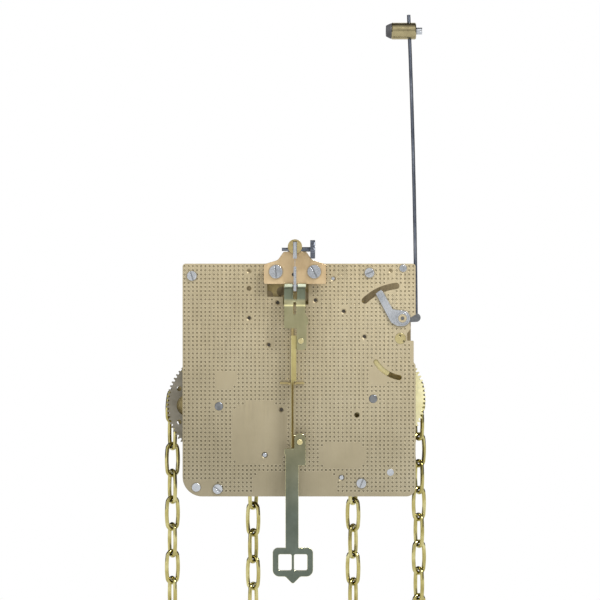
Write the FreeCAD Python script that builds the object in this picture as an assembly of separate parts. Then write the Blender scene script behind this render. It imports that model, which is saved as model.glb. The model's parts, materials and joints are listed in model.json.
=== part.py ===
import FreeCAD, Part
import math
import os

# Movement of a longcase clock: two weights on chains, bell strike, pendulum leader and hammer at the back.
# X runs across the back plate, +Y goes from the back plate to the dial, +Z is up. Millimetres.
# Z = 0 is the bottom edge of the plates, Y = 0 the middle of the back plate, X = 0 the suspension spring.

V = FreeCAD.Vector

# Plates
plate_left = -54.1
plate_right = 58.0
plate_top = 112.0
plate_t = 1.5
plate_gap = 42.0
back_in = plate_t / 2
back_out = -plate_t / 2
front_in = back_in + plate_gap
front_out = front_in + plate_t

# Fits and fasteners
running_gap = 0.05
end_shake = 0.3
pillar_r = 3.2
screw_r = 1.3
screw_head_r = 2.3
screw_head_t = 1.1
slot_w = 0.7
slot_depth = 0.5
seat_hole_r = 1.65
seat_hole_depth = 6.0
seat_block_w = 8.0
dial_hole_r = 1.6
dial_hole_inset = 9.0

# Arbors: places as (x, z), set out from the top edge of the plates
arbor_r = 1.5
pivot_r = 0.8
pivot_sink = 0.4
pivot_proud = 0.2
great_arbor_r = 2.5
great_pivot_r = 2.0
time_great = (-36.6, plate_top - 68.6)
second = (-6.5, plate_top - 70.2)
centre = (-0.7, plate_top - 50.0)
third = (-12.6, plate_top - 39.0)
fourth = (-22.1, plate_top - 26.1)
escape = (-8.3, plate_top - 18.7)
strike_great = (37.6, plate_top - 65.0)
pin_place = (33.4, plate_top - 35.1)
locking = (23.4, plate_top - 22.9)
warning = (9.8, plate_top - 17.6)
fly_place = (18.3, plate_top - 7.2)
pallet_place = (-0.7, plate_top - 5.3)
hammer_place = (plate_right - 6.4, plate_top - 26.3)
shift_place = (plate_right - 7.3, plate_top - 36.0)
minute_stud = (9.6, plate_top - 61.5)

# Layers, in steps from the inner face of the plate that each is set from
layer_step = plate_gap / 84
great_layer = back_in + 15 * layer_step
chain_layer = back_in + 37 * layer_step
escape_layer = back_in + 17 * layer_step
fourth_layer = back_in + 37 * layer_step
warning_layer = back_in + 37 * layer_step
third_layer = front_in - 32 * layer_step
pin_layer = front_in - 27 * layer_step
centre_layer = front_in - 22 * layer_step
locking_layer = front_in - 15 * layer_step
second_layer = front_in - 9 * layer_step
hammer_layer = back_in + 10 * layer_step

# Tooth counts
great_teeth, great_pinion = 78, 15
second_teeth, centre_pinion = 42, 14
centre_teeth, third_pinion = 48, 12
third_teeth, fourth_pinion = 45, 12
fourth_teeth, escape_pinion = 48, 12
escape_teeth = 30
pin_teeth, locking_pinion = 48, 12
locking_teeth, warning_pinion = 48, 12
warning_teeth, fly_pinion = 48, 12
cannon_teeth, minute_teeth = 14, 42
minute_pinion, hour_teeth = 12, 48
wheel_t = 1.2
great_t = 1.8
lifting_pins = 8
lifting_pin_r = 0.6
pin_ring_r = 11.3
pin_l = 6.4 * layer_step
pinion_w = 4.0
tooth_backlash = 0.14
pressure_angle = math.radians(20)

# Chain
link_wire = 1.9
link_w = 8.1
link_l = 17.45
link_end_r = 2.75
link_gap = 0.5
link_twist = 30.0
chain_pitch = link_l - 2 * link_wire - link_gap
time_chain_r = 23.6
strike_chain_r = 23.1
time_slack_x = -20.6
strike_slack_x = 28.4
time_wrap_start = 14.0
strike_wrap_start = 17.1
chain_foot = -54.0
hook_wire = 2.0
hook_eye_r = 3.4
hook_shank = 3.0
hook_bow_r = 5.5
ring_r = 7.0
wrap_steps = 5
time_run_links = 2
strike_run_links = 3
guide_r = 1.5
guide_gap = 0.5
cheek_t = 1.0
drum_gap = 0.4
ratchet_r = 11.5
ratchet_depth = 1.5
ratchet_teeth = 24

# Frame furniture, at places (x, z)
time_arbors = [second, centre, third, fourth, escape]
strike_arbors = [pin_place, locking, warning, fly_place]
pillars = [(plate_left + 4.5, plate_top - 5.9), (35.8, plate_top - 4.4), (-37.2, 3.6), (45.9, 11.6)]
tenon_pillar = pillars[3]
tenon_r = 1.7
foot_screw = (31.9, 6.35)
rivet_places = [((plate_right - 6.0, plate_top - 2.2), 1.1), ((plate_left + 6.6, 4.4), 1.4)]
plain_holes = [((-22.1, plate_top - 11.9), 1.2), ((29.8, 39.2), 1.3), ((-22.1, plate_top - 3.5), 0.7),
               ((46.0, plate_top - 3.3), 0.7)]
collar_r = 2.0
collar_h = 1.9
time_chain = (time_great, time_chain_r, -1, time_slack_x, time_wrap_start, time_run_links)
strike_chain = (strike_great, strike_chain_r, 1, strike_slack_x, strike_wrap_start, strike_run_links)

# Slots and levers at the back
upper_slot = (51.3, plate_top - 36.1)
upper_slot_r = 25.5
upper_slot_w = 3.1
lower_slot = (plate_right - 5.0, plate_top - 38.5)
lower_slot_r = 16.6
lower_slot_w = 2.5
shift_hub_r = 2.6
silence_r = 3.7
silence_t = 1.2
silence_pin_r = 0.5

# Suspension, crutch and pendulum leader
cock_half = 14.9
cock_t = 1.6
cock_stand = 4.65
cock_screw_x = 9.15
cock_screw_r = 1.8
cock_head_r = 3.2
cock_head_t = 1.8
stud_r = 3.4
stud_z = plate_top + 7.9
slit_w = 1.9
thumb_z = plate_top + 6.6
thumb_r = 1.1
thumb_head_r = 4.42
thumb_head_t = 2.3
blade_t = 0.2
block_foot = plate_top + 2.2
flex_z = plate_top + 0.4
spring_foot_top = plate_top - 1.6
spring_foot_w = 1.3
leader_back = -12.5
leader_t = 1.0
web_t = 1.3
web_x = -1.2
web_d = 5.5
flange_w = 1.2
flange_t = 0.8
flange_foot = 55.8
fork_z = 54.6
crutch_y = -2.2
crutch_r = 0.6
pallet_clear = 0.65
cock_face = back_out - cock_stand - cock_t
stud_end = cock_face - 7.5
slit_floor = cock_face - 1.2
thumb_y = cock_face - 4.2
leader_face = leader_back + leader_t
fold_low, fold_high = 91.9, 94.8
fold_in = 0.8
tab_z = plate_top - 10.6
tab_r = 1.0
rivets = [(2.8, 75.0), (2.3, 27.0)]
rivet_r = 0.9
web_foot = (24.0, 30.0)
web_head = (71.6, 77.6)

# Hammer
hammer_wire_r = 0.85
hammer_head_r = 4.05
hammer_z = 224.7
hammer_top_z = 232.5
hammer_left = plate_right - 14.0
hammer_right = plate_right + 0.5
hammer_lean = (plate_right + 0.6, plate_right - 0.4, plate_right - 3.0)
hammer_bow_z = 150.0
tip_l = 2.6
tip_lip = 1.4
set_screw_r = 1.0

# Motion work and strike work, on the dial side
minute_layer = front_out + 2.4
hour_layer = front_out + 5.6
snail_layer = front_out + 8.6
cannon_r = 2.4
cannon_end = 16.0
hour_pipe_r = 4.4
hour_pipe_end = 13.0
hour_seat_r = 4.0
hour_seat_l = 3.6
minute_seat_r = 1.3
minute_seat_l = 4.0
minute_seat_end = 20.2
rack_place = (-34.0, plate_top - 52.0)
hook_place = (24.0, plate_top - 13.0)
lift_place = (33.0, plate_top - 48.0)
stud_foot_r = 1.2
strike_stud_r = 1.5
front_studs = [minute_stud, rack_place, hook_place, lift_place]
snail_low, snail_step = 6.2, 0.5


# Plain shapes

def rod(place, y0, y1, r):
    return Part.makeCylinder(r, y1 - y0, V(place[0], y0, place[1]), V(0, 1, 0))


def rod_x(x0, x1, y, z, r):
    return Part.makeCylinder(r, x1 - x0, V(x0, y, z), V(1, 0, 0))


def rod_z(x, y, z0, z1, r):
    return Part.makeCylinder(r, z1 - z0, V(x, y, z0), V(0, 0, 1))


def block(x0, x1, y0, y1, z0, z1):
    return Part.makeBox(x1 - x0, y1 - y0, z1 - z0, V(x0, y0, z0))


def polar(place, r, angle):
    return (place[0] + r * math.cos(angle), place[1] + r * math.sin(angle))


def direction(a, b):
    return math.atan2(b[1] - a[1], b[0] - a[0])


def distance(a, b):
    return math.hypot(b[0] - a[0], b[1] - a[1])


def slab(points, y0, y1):
    """A flat piece with straight edges, from its outline in X and Z."""
    corners = [V(x, y0, z) for x, z in points]
    wire = Part.makePolygon(corners + corners[:1])
    return Part.Face(wire).extrude(V(0, y1 - y0, 0))


def rounded(corners, y0, y1):
    """A flat piece whose outline has a radius at each corner: (x, z, radius)."""
    edges, ends = [], []
    count = len(corners)
    for i, (x, z, r) in enumerate(corners):
        here = V(x, y0, z)
        before = V(corners[i - 1][0], y0, corners[i - 1][1]) - here
        after = V(corners[(i + 1) % count][0], y0, corners[(i + 1) % count][1]) - here
        half = before.getAngle(after) / 2
        before.normalize()
        after.normalize()
        reach = r / math.tan(half)
        middle = before + after
        middle.normalize()
        top = here + middle * (r / math.sin(half) - r)
        start, end = here + before * reach, here + after * reach
        edges.append(Part.Arc(start, top, end).toShape())
        ends.append((start, end))
    lines = []
    for i in range(count):
        a, b = ends[i][1], ends[(i + 1) % count][0]
        lines.append(edges[i])
        if a.distanceToPoint(b) > 1e-6:
            lines.append(Part.makeLine(a, b))
    return Part.Face(Part.Wire(lines)).extrude(V(0, y1 - y0, 0))


def bar(a, b, width, y0, y1):
    """A flat bar with round ends between two places."""
    r = width / 2
    turn = direction(a, b)

    def at(place, angle):
        x, z = polar(place, r, turn + angle)
        return V(x, y0, z)

    quarter = math.pi / 2
    edges = [
        Part.makeLine(at(a, quarter), at(b, quarter)),
        Part.Arc(at(b, quarter), at(b, 0), at(b, -quarter)).toShape(),
        Part.makeLine(at(b, -quarter), at(a, -quarter)),
        Part.Arc(at(a, -quarter), at(a, math.pi), at(a, quarter)).toShape(),
    ]
    return Part.Face(Part.Wire(edges)).extrude(V(0, y1 - y0, 0))


def arc_slot(place, radius, width, start, end, y0, y1):
    """A curved slot with round ends, about place, from one angle to another in degrees."""
    start, end = math.radians(start), math.radians(end)
    middle = (start + end) / 2
    outer, inner = radius + width / 2, radius - width / 2

    def at(r, angle):
        x, z = polar(place, r, angle)
        return V(x, y0, z)

    cap = width / 2 / radius
    edges = [
        Part.Arc(at(outer, start), at(outer, middle), at(outer, end)).toShape(),
        Part.Arc(at(outer, end), at(radius, end + cap), at(inner, end)).toShape(),
        Part.Arc(at(inner, end), at(inner, middle), at(inner, start)).toShape(),
        Part.Arc(at(inner, start), at(radius, start - cap), at(outer, start)).toShape(),
    ]
    return Part.Face(Part.Wire(edges)).extrude(V(0, y1 - y0, 0))


def fuse(shapes):
    shapes = list(shapes)
    return shapes[0].multiFuse(shapes[1:]).removeSplitter()


def save(name, shape):
    if isinstance(shape, (list, tuple)):
        shape = Part.makeCompound(list(shape))
    shape.exportStep("parts/" + name + ".step")


# Gears

def mesh_module(a, b, teeth_a, teeth_b):
    return 2 * distance(a, b) / (teeth_a + teeth_b)


def gear(place, teeth, module, y0, y1, angle):
    """A toothed blank with a tooth centred on the given angle."""
    pitch_r = teeth * module / 2
    base_r = pitch_r * math.cos(pressure_angle)
    half_pitch = (math.pi * module / 2 - tooth_backlash) / 2 / pitch_r
    spread = math.tan(pressure_angle) - pressure_angle
    root_r, tip_r = pitch_r - 1.15 * module, pitch_r + 0.85 * module

    def half_angle(r):
        if r <= base_r:
            return half_pitch + spread
        a = math.acos(base_r / r)
        return half_pitch + spread - (math.tan(a) - a)

    levels = [root_r, pitch_r, tip_r]
    points = []
    for k in range(teeth):
        mid = angle + 2 * math.pi * k / teeth
        points += [polar(place, r, mid - half_angle(r)) for r in levels]
        points += [polar(place, r, mid + half_angle(r)) for r in reversed(levels)]
    return slab(points, y0, y1)


def wheel(place, teeth, module, layer, thick, angle, bore, holes=5):
    """A brass wheel with a hub and round crossings."""
    root_r = teeth * module / 2 - 1.15 * module
    hub_r = bore + 1.3
    body = gear(place, teeth, module, layer - thick / 2, layer + thick / 2, angle)
    hole_r = (root_r - 1.3 - hub_r - 0.6) / 2
    ring = hub_r + 0.6 + hole_r
    hole_r = min(hole_r, ring * math.sin(math.pi / holes) - 0.6)
    cuts = [rod(polar(place, ring, 2 * math.pi * k / holes + 0.3), layer - thick, layer + thick, hole_r)
            for k in range(holes)]
    body = body.cut(Part.makeCompound(cuts))
    body = body.fuse(rod(place, layer - thick, layer + thick, hub_r))
    return body.cut(rod(place, layer - 2 * thick, layer + 2 * thick, bore)).removeSplitter()


def pinion(place, teeth, module, layer, angle):
    return gear(place, teeth, module, layer - pinion_w / 2, layer + pinion_w / 2, angle)


def arbor(place, r=arbor_r, end_r=pivot_r, y_rear=back_out + pivot_sink):
    """A plain arbor with a pivot in each plate."""
    body = rod(place, back_in + end_shake, front_in - end_shake, r)
    return fuse([body, rod(place, y_rear, front_out + pivot_proud, end_r)])


def pivot_hole(place, end_r=pivot_r, y0=back_out, y1=back_in):
    return rod(place, y0 - 1, y1 + 1, end_r + running_gap)


def slotted_head(place, y_face, outward, r, t, angle):
    """A round screw head on a face, with a slot; outward is -1 towards the back and 1 towards the dial."""
    top = y_face + outward * t
    head = rod(place, min(y_face, top), max(y_face, top), r)
    floor = top - outward * slot_depth
    a, b = polar(place, 2 * r, angle), polar(place, -2 * r, angle)
    return head.cut(bar(a, b, slot_w, min(floor, top + outward), max(floor, top + outward)))


# Frame: plates, pillars and their screws

def plate_outline(y0, y1):
    return rounded([(plate_left, 0, 9.5), (plate_right, 0, 4.5), (plate_right, plate_top, 1.5),
                    (plate_left, plate_top, 1.5)], y0, y1)


def plate_holes(y0, y1):
    """Pivot holes and the holes for the great arbors, common to both plates."""
    holes = [pivot_hole(p, y0=y0, y1=y1) for p in time_arbors + strike_arbors + [hammer_place]]
    holes += [pivot_hole(p, great_pivot_r, y0, y1) for p in (time_great, strike_great)]
    return holes


def back_plate():
    y0, y1 = back_out, back_in
    body = plate_outline(y0, y1)
    edge = plate_right
    z = shift_place[1]
    notch = rounded([(edge + 9, z + 11.5, 1), (edge, z + 11.5, 0.5), (edge - 3.3, z + 9.6, 0.8),
                     (edge - 2.4, z + 4.6, 0.5), (edge - 4.1, z + 2.4, 0.5), (edge - 4.1, z - 1.1, 0.4),
                     (edge - 0.9, z - 1.1, 0.4), (edge - 0.9, z - 11.4, 0.3), (edge, z - 12.8, 0.3),
                     (edge + 9, z - 12.8, 1)], y0 - 1, y1 + 1)
    window = fuse([block(-13.4, -5.8, y0 - 1, y1 + 1, plate_top - 15.95, plate_top - 7.5),
                   block(-5.8, 6.5, y0 - 1, y1 + 1, plate_top - 19.7, plate_top - 7.5),
                   block(-5.0, 3.6, y0 - 1, y1 + 1, plate_top - 19.7, plate_top - 2.6)])
    cuts = [notch, window]
    cuts.append(arc_slot(upper_slot, upper_slot_r, upper_slot_w, 96, 134, y0 - 1, y1 + 1))
    cuts.append(arc_slot(lower_slot, lower_slot_r, lower_slot_w, 212, 260, y0 - 1, y1 + 1))
    cuts.append(rod(shift_place, y0 - 1, y1 + 1, shift_hub_r + 2 * running_gap))
    cuts += plate_holes(y0, y1)
    cuts += [rod(p, y0 - 1, y1 + 1, screw_r) for p in pillars[:3] + [foot_screw]]
    cuts.append(rod(tenon_pillar, y0 - 1, y1 + 1, tenon_r))
    cuts += [rod((x * cock_screw_x, plate_top - 4.0), y0 - 1, y1 + 1, cock_screw_r) for x in (-1, 1)]
    cuts += [rod(p, y0 - 1, y1 + 1, r) for p, r in rivet_places + plain_holes]
    cuts += [rod(p, y0 - 1, y1 + 1, guide_r * 0.7) for p in guide_places()]
    collar = rod(hammer_place, y0 - collar_h, y0, collar_r)
    body = body.cut(Part.makeCompound(cuts))
    collar = collar.cut(pivot_hole(hammer_place, y0=y0 - collar_h, y1=y0))
    return body.fuse(collar)


def front_plate():
    y0, y1 = front_in, front_out
    body = plate_outline(y0, y1)
    cuts = plate_holes(y0, y1) + [pivot_hole(pallet_place, y0=y0, y1=y1)]
    cuts.append(rod(centre, y0 - 1, y1 + 1, arbor_r + running_gap))
    cuts += [rod(p, y0 - 1, y1 + 1, screw_r) for p in pillars]
    cuts += [rod(p, y0 - 1, y1 + 1, stud_foot_r) for p in front_studs]
    inset = dial_hole_inset
    for x in (plate_left + 2 * inset, plate_right - 2 * inset):
        cuts += [rod((x, z), y0 - 1, y1 + 1, dial_hole_r) for z in (inset + 12, plate_top - inset)]
    cuts.append(rod(shift_place, y0 - 1, y1 + 1, pivot_r + running_gap))
    return body.cut(Part.makeCompound(cuts))


def plate_pillars():
    """Four round pillars; the lower two have a block with a threaded hole that faces the seatboard."""
    shapes = []
    for p in pillars:
        body = rod(p, back_in, front_in, pillar_r)
        if p[1] < plate_top / 2:
            mid, half = (back_in + front_in) / 2, seat_block_w / 2
            body = body.fuse(block(p[0] - half, p[0] + half, mid - half, mid + half, 0.3, p[1] + half))
            hole = rod_z(p[0], mid, -1, 0.3 + seat_hole_depth, seat_hole_r)
            body = body.cut(hole)
        ends = [rod(p, front_in - 5, front_in + 1, screw_r)]
        if p == tenon_pillar:
            body = body.fuse(rod(p, back_out - 0.15, back_in, tenon_r))
        else:
            ends.append(rod(p, back_in - 1, back_in + 5, screw_r))
        shapes.append(body.cut(Part.makeCompound(ends)).removeSplitter())
    return shapes


def plate_screws():
    """Slotted screws through both plates into the pillars, and one with a nut at the lower right."""
    shapes = []
    slots = {0: 1.9, 1: 0.4, 2: 2.5, 3: 0.9}
    for k, p in enumerate(pillars):
        if p != tenon_pillar:
            head = slotted_head(p, back_out, -1, screw_head_r, screw_head_t, slots[k])
            shapes.append(head.fuse(rod(p, back_out, back_in + 4.5, screw_r)))
        head = slotted_head(p, front_out, 1, screw_head_r, screw_head_t, slots[k] + 1)
        shapes.append(head.fuse(rod(p, front_in - 4.5, front_out, screw_r)))
    head = slotted_head(foot_screw, back_out, -1, screw_head_r, screw_head_t, 1.2)
    nut = rod(foot_screw, back_in, back_in + 2, screw_head_r)
    shapes.append(fuse([head, rod(foot_screw, back_out, back_in, screw_r), nut]))
    return shapes


def plate_rivets():
    return [rod(p, back_out - 0.5, back_in + 0.6, r).fuse(rod(p, back_out - 0.5, back_out, r + 0.7))
            for p, r in rivet_places]


def guide_places():
    reach = link_w / 2 + guide_r + guide_gap
    time_z = chain_turns(*time_chain)[-1][1]
    strike_z = chain_turns(*strike_chain)[-1][1]
    return [(time_slack_x + reach, time_z), (strike_slack_x - reach, strike_z)]


def chain_guides():
    """Pins that hold the slack strands clear of the pendulum."""
    return [rod(p, back_in, chain_layer + 6, guide_r).fuse(rod(p, back_out, back_in + 1, guide_r * 0.7))
            for p in guide_places()]


# Suspension

def suspension_cock():
    y1 = back_out - cock_stand
    y0 = y1 - cock_t
    low, high = plate_top - 9.8, plate_top + 5.6
    body = rounded([(-cock_half, low, 0.8), (cock_half, low, 0.8), (cock_half, plate_top - 0.4, 1.2),
                    (8.2, plate_top + 1.6, 3.0), (5.4, high, 0.9), (-5.4, high, 0.9),
                    (-8.2, plate_top + 1.6, 3.0), (-cock_half, plate_top - 0.4, 1.2)], y0, y1)
    feet = [rod((x * cock_screw_x, plate_top - 4.0), y1, back_out, cock_head_r - 0.4) for x in (-1, 1)]
    boss_r = stud_r - 0.4
    boss = [rod((0, stud_z), y0, y1, boss_r), block(-boss_r, boss_r, y0, y1, high - 1, stud_z)]
    body = fuse([body] + feet + boss)
    cuts = [rod((x * cock_screw_x, plate_top - 4.0), y0 - 1, 1, cock_screw_r) for x in (-1, 1)]
    cuts.append(pivot_hole(pallet_place, y0=y0, y1=y1))
    return body.cut(Part.makeCompound(cuts))


def cock_screws():
    face = back_out - cock_stand - cock_t
    shapes = []
    for x, turn in ((-cock_screw_x, 1.65), (cock_screw_x, 2.05)):
        p = (x, plate_top - 4.0)
        head = slotted_head(p, face, -1, cock_head_r, cock_head_t, turn)
        shapes.append(head.fuse(rod(p, face, back_in, cock_screw_r)))
    return shapes


def suspension_stud():
    """A round post on the cock, slit from below for the spring's block and bored for the thumb screw."""
    post = rod((0, stud_z), stud_end, cock_face, stud_r)
    slit = block(-slit_w / 2, slit_w / 2, stud_end - 1, slit_floor, stud_z - stud_r - 1, stud_z + 2.4)
    bore = rod_x(-9, 9, thumb_y, thumb_z, thumb_r + running_gap)
    return post.cut(Part.makeCompound([slit, bore])).removeSplitter()


def thumb_screw():
    shaft = rod_x(-3.5, 7.3, thumb_y, thumb_z, thumb_r)
    tail = rod_x(-6.25, -3.5, thumb_y, thumb_z, thumb_r - 0.3)
    ridges = 30
    points = []
    for k in range(2 * ridges):
        r = thumb_head_r - (0.3 if k % 2 else 0)
        y, z = polar((thumb_y, thumb_z), r, math.pi * k / ridges)
        points.append(V(7.3, y, z))
    head = Part.Face(Part.makePolygon(points + points[:1])).extrude(V(thumb_head_t, 0, 0))
    return fuse([shaft, tail, head])


def suspension_block():
    half = slit_w / 2 - 0.05
    body = block(-half, half, stud_end + 0.3, slit_floor - 0.1, block_foot, stud_z + 2.2)
    return body.cut(rod_x(-2, 2, thumb_y, thumb_z, thumb_r + 2 * running_gap))


def suspension_blade():
    """The spring's blade, with a steel foot whose cross pin lies in the leader's tabs."""
    y0, y1 = leader_back - 0.9, cock_face - 1.5
    low, half = plate_top - 13.3, spring_foot_w / 2
    blade = block(-blade_t / 2, blade_t / 2, y0, y1, spring_foot_top - 2, block_foot - running_gap)
    foot = block(-half, half, y0, y1, low, spring_foot_top)
    return fuse([blade, foot, rod_x(-2.4, 2.4, leader_back + 0.5, tab_z, 0.4)])


# Pendulum leader

def leader_head():
    """The upper stamped plate: it steps in at a fold and ends in two tabs that hold the spring's foot."""
    y0, y1 = leader_back, leader_face
    left, right = -5.15, 4.95
    lower = rounded([(left, 81.0, 0.5), (0.87, 81.0, 0.3), (0.87, 70.7, 0.8), (5.4, 70.7, 1.8),
                     (5.6, 82.5, 0.3), (6.35, 83.0, 0.3), (6.35, 85.5, 0.4), (right, 88.0, 0.5),
                     (right, fold_low, 0.1), (left, fold_low, 0.1)], y0, y1)
    profile = [(y0, fold_low - 0.3), (y0, fold_low), (y0 + fold_in, fold_high), (y0 + fold_in, tab_z),
               (y1 + fold_in, tab_z), (y1 + fold_in, fold_high), (y1, fold_low), (y1, fold_low - 0.3)]
    corners = [V(left, y, z) for y, z in profile]
    upper = Part.Face(Part.makePolygon(corners + corners[:1])).extrude(V(right - left, 0, 0))
    tabs = [rod_x(x0, x1, y0 + 0.5, tab_z, tab_r) for x0, x1 in ((-4.9, -1.2), (1.4, 5.2))]
    body = fuse([lower, upper] + tabs)
    reach = 3
    cuts = [block(-0.85, 1.0, y0 - reach, y1 + reach, fold_high, tab_z + reach),
            rounded([(-0.85, 87.6, 0.6), (0.6, 87.6, 0.6), (0.6, 93.5, 0.3), (-0.85, 93.5, 0.3)],
                    y0 - reach, y1 + reach),
            rod_x(-2.4, 2.4, y0 + 0.5, tab_z, 0.4),
            rod(rivets[0], y0 - 1, y1 + 1, rivet_r)]
    return body.cut(Part.makeCompound(cuts))


def leader_web():
    """The strap that stands edge on, with a riveted flange at each end and a narrow one above the fork."""
    x0, x1 = web_x - web_t / 2, web_x + web_t / 2
    body = block(x0, x1, leader_face, leader_face + web_d, web_foot[0], web_head[1])
    flanges = [block(x0, 4.6, leader_face, leader_face + leader_t, z0, z1) for z0, z1 in (web_foot, web_head)]
    flanges.append(block(x0, x1 + flange_w, leader_face, leader_face + flange_t, flange_foot, web_head[1]))
    body = fuse([body] + flanges)
    holes = [rod(p, leader_face - 1, leader_face + 3, rivet_r) for p in rivets]
    return body.cut(Part.makeCompound(holes))


def pendulum_hook():
    """The lower strap and the frame with two windows that carries the pendulum."""
    y0, y1 = leader_back, leader_face
    strap = rounded([(-4.5, -24.5, 0.4), (1.7, -24.5, 0.4), (1.7, 15.9, 0.3), (5.05, 15.9, 0.4),
                     (5.05, 31.0, 2.4), (-0.2, 31.0, 2.4), (-0.2, 23.8, 0.2), (-5.0, 23.8, 0.4),
                     (-5.0, 21.2, 0.2), (-4.5, 20.9, 0.1)], y0, y1)
    frame = rounded([(-10.6, -37.0, 3.2), (-4.6, -37.0, 1.5), (-1.0, -40.6, 1.0), (2.6, -37.0, 1.5),
                     (8.6, -37.0, 3.2), (8.6, -23.3, 2.6), (-10.6, -23.3, 2.6)], y0, y1)
    body = fuse([strap, frame])
    cuts = [rod(rivets[1], y0 - 1, y1 + 1, rivet_r)]
    for x0 in (-7.85, -0.4):
        cuts.append(rounded([(x0, -34.05, 0.8), (x0 + 6.25, -34.05, 0.8), (x0 + 6.25, -26.4, 0.8),
                             (x0, -26.4, 0.8)], y0 - 1, y1 + 1))
    return body.cut(Part.makeCompound(cuts))


def leader_rivets():
    y0, y1 = leader_back, leader_face + leader_t
    return [rod(p, y0 - 0.3, y1 + 0.3, rivet_r).fuse(rod(p, y0 - 0.5, y0, rivet_r + 0.5)) for p in rivets]


# Escapement

def pallet_arbor():
    """It turns in the cock and in the front plate, through the window."""
    body = rod(pallet_place, back_out - cock_stand + end_shake, front_in - end_shake, arbor_r)
    return fuse([body, rod(pallet_place, cock_face + pivot_sink, front_out + pivot_proud, pivot_r)])


def escape_tip_r():
    return distance(pallet_place, escape) / math.sqrt(2)


def anchor():
    y0, y1 = escape_layer - 1.0, escape_layer + 1.0
    towards = direction(escape, pallet_place)
    ends = [polar(escape, escape_tip_r() + pallet_clear + 1.0, towards + s * math.pi / 4) for s in (-1, 1)]
    body = fuse([bar(pallet_place, end, 2.0, y0, y1) for end in ends] + [rod(pallet_place, y0, y1, 2.8)])
    return body.cut(rod(pallet_place, y0 - 1, y1 + 1, arbor_r))


def crutch():
    """A wire from the pallet arbor down behind the leader, with a fork on each side of its web."""
    top = pallet_place[1]
    collet = rod(pallet_place, crutch_y - 1, crutch_y + 1, 2.6)
    wire = rod_z(web_x, crutch_y, fork_z, top - 1.0, crutch_r)
    cross = block(-7.3, 4.5, crutch_y - 0.7, crutch_y + 0.6, fork_z - 0.5, fork_z + 0.5)
    prong_r = 0.5
    gap = web_t / 2 + 0.3 + prong_r
    prongs = [rod((web_x + s * gap, fork_z), leader_face + 0.5, crutch_y, prong_r) for s in (-1, 1)]
    body = fuse([collet, wire, cross] + prongs)
    return body.cut(rod(pallet_place, crutch_y - 2, crutch_y + 2, arbor_r))


# Trains

def great_wheel(place, onward):
    """A great wheel with eight round crossings and eight small holes between them."""
    module = mesh_module(place, onward, great_teeth, great_pinion)
    y0, y1 = great_layer - great_t / 2, great_layer + great_t / 2
    body = gear(place, great_teeth, module, y0, y1, direction(place, onward))
    cuts = [rod(place, y0 - 1, y1 + 1, great_arbor_r)]
    for k in range(8):
        angle = 2 * math.pi * k / 8
        cuts.append(rod(polar(place, 15.6, angle), y0 - 1, y1 + 1, 5.2))
        cuts.append(rod(polar(place, 21.2, angle + math.pi / 8), y0 - 1, y1 + 1, 1.2))
    return body.cut(Part.makeCompound(cuts))


def great_arbor(place):
    return arbor(place, great_arbor_r, great_pivot_r, back_out - pivot_proud)


def chain_wheel(place, chain_r):
    """A grooved drum between two cheeks, with ratchet teeth on its side towards the great wheel."""
    half = link_w / 2 + 0.5
    y0, y1 = chain_layer - half, chain_layer + half
    nearest = chain_r * math.cos(link_step(chain_r) / 2) - link_w / 2
    drum = rod(place, y0 - cheek_t, y1 + cheek_t, nearest - drum_gap)
    cheeks = [rod(place, a, a + cheek_t, chain_r - 1.5) for a in (y0 - cheek_t, y1)]
    points = []
    for k in range(ratchet_teeth):
        angle = 2 * math.pi * k / ratchet_teeth
        points.append(polar(place, ratchet_r, angle))
        points.append(polar(place, ratchet_r - ratchet_depth, angle + 0.03))
    ratchet = slab(points, great_layer + great_t / 2 + 0.2, y0 - cheek_t)
    body = fuse([drum, ratchet] + cheeks)
    return body.cut(rod(place, y0 - 9, y1 + 9, great_arbor_r))


def pinion_arbor(place, behind, teeth_behind, teeth, layer):
    """An arbor whose pinion has a gap towards the wheel that drives it."""
    module = mesh_module(behind, place, teeth_behind, teeth)
    angle = direction(place, behind) + math.pi / teeth
    return fuse([arbor(place), pinion(place, teeth, module, layer, angle)])


def train_wheel(place, onward, teeth, pinion_teeth, layer):
    module = mesh_module(place, onward, teeth, pinion_teeth)
    return wheel(place, teeth, module, layer, wheel_t, direction(place, onward), arbor_r)


def centre_arbor():
    """The minute arbor: it runs on through the front plate to the minute hand."""
    module = mesh_module(second, centre, second_teeth, centre_pinion)
    angle = direction(centre, second) + math.pi / centre_pinion
    end = front_out + minute_seat_end
    body = rod(centre, back_in + end_shake, end - minute_seat_l, arbor_r)
    tail = rod(centre, back_out + pivot_sink, back_in + 1, pivot_r)
    seat = rod(centre, end - minute_seat_l, end, minute_seat_r)
    return fuse([body, tail, seat, pinion(centre, centre_pinion, module, second_layer, angle)])


def escape_wheel():
    y0, y1 = escape_layer - wheel_t / 2, escape_layer + wheel_t / 2
    tip = escape_tip_r()
    points = []
    for k in range(escape_teeth):
        angle = 2 * math.pi * k / escape_teeth
        points.append(polar(escape, tip, angle))
        points.append(polar(escape, tip - 0.1, angle + 0.02))
        points.append(polar(escape, tip - 1.7, angle + 0.07))
    body = slab(points, y0, y1)
    cuts = [rod(polar(escape, 5.6, 2 * math.pi * k / 5), y0 - 1, y1 + 1, 2.4) for k in range(5)]
    body = body.cut(Part.makeCompound(cuts)).fuse(rod(escape, y0 - 0.8, y1 + 0.8, 2.8))
    return body.cut(rod(escape, y0 - 2, y1 + 2, arbor_r)).removeSplitter()


def pin_wheel():
    """The wheel whose pins lift the hammer's tail; the pins stand in its rim."""
    body = train_wheel(pin_place, locking, pin_teeth, locking_pinion, pin_layer)
    pins = []
    for k in range(lifting_pins):
        place = polar(pin_place, pin_ring_r, 2 * math.pi * k / lifting_pins)
        pins.append(rod(place, pin_layer - pin_l, pin_layer, lifting_pin_r))
    return fuse([body] + pins)


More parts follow.
